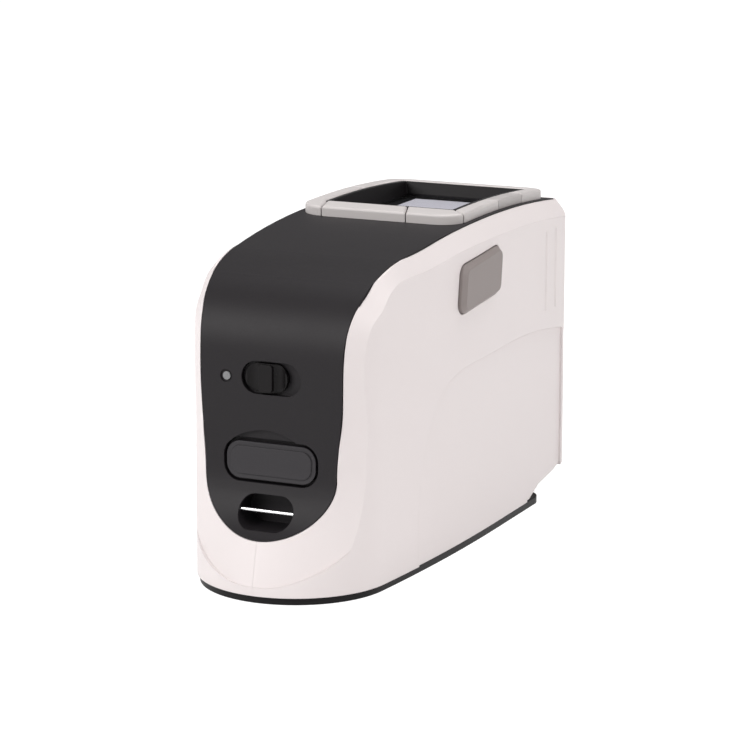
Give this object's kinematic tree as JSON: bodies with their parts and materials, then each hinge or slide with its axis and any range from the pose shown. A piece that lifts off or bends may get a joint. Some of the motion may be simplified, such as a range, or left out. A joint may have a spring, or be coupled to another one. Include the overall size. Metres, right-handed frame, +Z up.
{
  "type": "portable spectrophotometer",
  "caption": "Portable colour spectrophotometer: white two-shell housing, black wraparound front cover, grey-framed top display, side test button, power slider, port cover and strap slot.",
  "frame": {"origin": "centre of the base plate's resting face, on the parting plane of the shells, halfway along the 184 mm length", "axes": "+X towards the side with the test button, -Y the black front face, +Z up"},
  "size_m": [0.0793, 0.184, 0.1165],
  "materials": {
    "white_shell": "fine moulded, slightly satin",
    "black_plastic": "fine grained, satin",
    "black_rubber": "soft matte",
    "grey_plastic": "satin",
    "button_grey": "soft satin",
    "clear_glass": "plain",
    "lens_plastic": "plain",
    "display_panel": "plain",
    "circuit_board": "plain",
    "switch_black": "plain",
    "screw_steel": "plain",
    "bar_chrome": "plain",
    "socket_steel": "plain",
    "ring_metal": "plain",
    "sphere_white": "plain",
    "optics_aluminium": "plain",
    "grating_glass": "plain",
    "battery_wrap": "plain"
  },
  "bodies": {
    "housing": {"right_shell": "white_shell", "left_shell": "white_shell", "base_plate": "black_plastic", "aperture_ring": "ring_metal", "base_screws": "screw_steel", "front_cover": "black_plastic", "strap_bar": "bar_chrome", "frame_left": "grey_plastic", "frame_right_front": "grey_plastic", "frame_right_middle": "grey_plastic", "frame_rear": "grey_plastic", "display_bezel": "black_plastic", "display_window": "clear_glass", "display_module": "display_panel", "main_board": "circuit_board", "key_switches": "switch_black", "board_screws": "screw_steel", "switch_body": "black_plastic", "status_lens": "lens_plastic", "printer_socket": "socket_steel", "dc_socket": "socket_steel", "usb_socket": "socket_steel", "port_board": "circuit_board", "test_switch": "switch_black", "test_board": "circuit_board", "sphere_lower": "sphere_white", "sphere_upper": "sphere_white", "lamp_holder": "optics_aluminium", "optics_frame": "optics_aluminium", "optics_screws": "screw_steel", "lens_barrel": "black_plastic", "spectrometer_housing": "optics_aluminium", "spectrometer_lid": "optics_aluminium", "grating": "grating_glass", "detector_board": "circuit_board", "battery_tray": "black_plastic", "battery_pack": "battery_wrap"},
    "power_slider": {"power_slider": "black_plastic"},
    "test_button": {"test_button": "button_grey"},
    "display_key_left": {"display_key_left": "grey_plastic"},
    "display_key_right": {"display_key_right": "grey_plastic"},
    "port_flap": {"port_cover": "black_rubber"}
  },
  "joints": [
    {"name": "power_slide", "type": "slide", "parent": "housing", "child": "power_slider", "axis": [1, 0, 0], "range_m": [0, 0.0035]},
    {"name": "test_button_press", "type": "slide", "parent": "housing", "child": "test_button", "axis": [-1, 0, 0], "range_m": [0, 0.001], "stiffness_N_per_m": 900},
    {"name": "key_left_press", "type": "slide", "parent": "housing", "child": "display_key_left", "axis": [0, 0, -1], "range_m": [0, 0.0007], "stiffness_N_per_m": 700},
    {"name": "key_right_press", "type": "slide", "parent": "housing", "child": "display_key_right", "axis": [0, 0, -1], "range_m": [0, 0.0007], "stiffness_N_per_m": 700},
    {"name": "port_cover_open", "type": "hinge", "parent": "housing", "child": "port_flap", "pos_m": [0, -0.07681, 0.0392], "axis": [1, 0, 0], "range_deg": [0, 70]}
  ]
}
